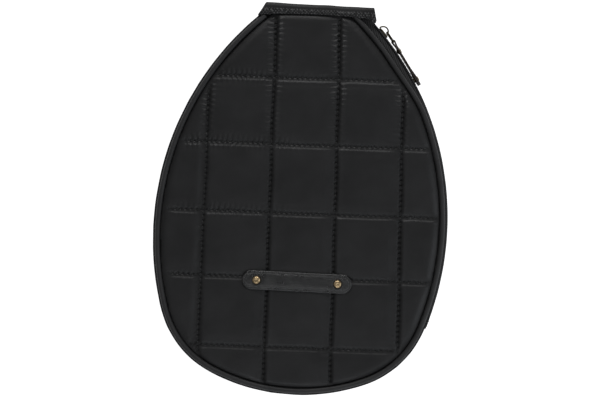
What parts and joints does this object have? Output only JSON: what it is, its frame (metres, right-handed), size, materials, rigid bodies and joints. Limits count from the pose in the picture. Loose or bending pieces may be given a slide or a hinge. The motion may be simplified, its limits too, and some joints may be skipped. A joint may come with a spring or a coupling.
{
  "type": "paddle case",
  "caption": "Padded, quilted case in the shape of an upturned egg, with an open bound mouth for a paddle's handle and a flap that unzips along one side.",
  "frame": {"origin": "on the back face that the case lies on, under the middle of its outline", "axes": "+X towards the side with the zip, +Y towards the mouth, +Z out of the front panel"},
  "size_m": [0.232, 0.3076, 0.0321],
  "materials": {
    "shell_fabric": "black satin-faced nylon, quilted",
    "wall_fabric": "black ribbed nylon",
    "piping_fabric": "black satin-faced nylon over a cord",
    "lining_fabric": "dark grey brushed lining",
    "foam": "open cell foam",
    "binding_fabric": "black woven mesh binding",
    "zip_fabric": "black zip tape",
    "zip_plastic": "black nylon coil",
    "metal": "antique brass",
    "label_leather": "black leather with a soft shine",
    "tab_leather": "brown leather"
  },
  "bodies": {
    "case": {"back_shell": "shell_fabric", "back_foam": "foam", "back_lining": "lining_fabric", "back_piping": "piping_fabric", "side_wall": "wall_fabric", "side_wall_lining": "lining_fabric", "front_shell_fixed": "shell_fabric", "front_foam_fixed": "foam", "front_lining_fixed": "lining_fabric", "front_piping_fixed": "piping_fabric", "mouth_binding_back": "binding_fabric", "mouth_binding_side": "binding_fabric", "zip_strip_back": "wall_fabric", "zip_tape_back": "zip_fabric", "zip_coil_back": "zip_plastic", "zip_top_stop_back": "metal", "zip_bottom_stop": "metal", "zip_end_tab": "zip_fabric", "label_plate": "label_leather", "label_rivet_caps": "metal", "label_rivet_posts": "metal"},
    "flap": {"front_shell_flap": "shell_fabric", "front_foam_flap": "foam", "front_lining_flap": "lining_fabric", "front_piping_flap": "piping_fabric", "mouth_binding_front": "binding_fabric", "zip_strip_front": "wall_fabric", "zip_tape_front": "zip_fabric", "zip_coil_front": "zip_plastic", "zip_top_stop_front": "metal"},
    "slider": {"slider_body": "metal", "slider_bridge": "metal"},
    "pull_link": {"pull_link": "metal"},
    "pull_tab": {"pull_tab": "tab_leather", "pull_tab_rivets": "metal"}
  },
  "joints": [
    {"name": "slider_travel", "type": "hinge", "parent": "case", "child": "slider", "pos_m": [-0.115, -0.02221, 0.0145], "axis": [0, 0, -1], "range_deg": [0, 57]},
    {"name": "flap_open", "type": "hinge", "parent": "case", "child": "flap", "pos_m": [-0.046, 0.14279, 0.029], "axis": [0.5544, -0.8323, 0], "range_deg": [0, 65]},
    {"name": "link_swing", "type": "hinge", "parent": "slider", "child": "pull_link", "pos_m": [0.05606, 0.13791, 0.0145], "axis": [0, 0, 1], "range_deg": [0, 120]},
    {"name": "tab_swing", "type": "hinge", "parent": "pull_link", "child": "pull_tab", "pos_m": [0.06174, 0.1309, 0.0145], "axis": [0, 0, 1], "range_deg": [0, 60]}
  ]
}
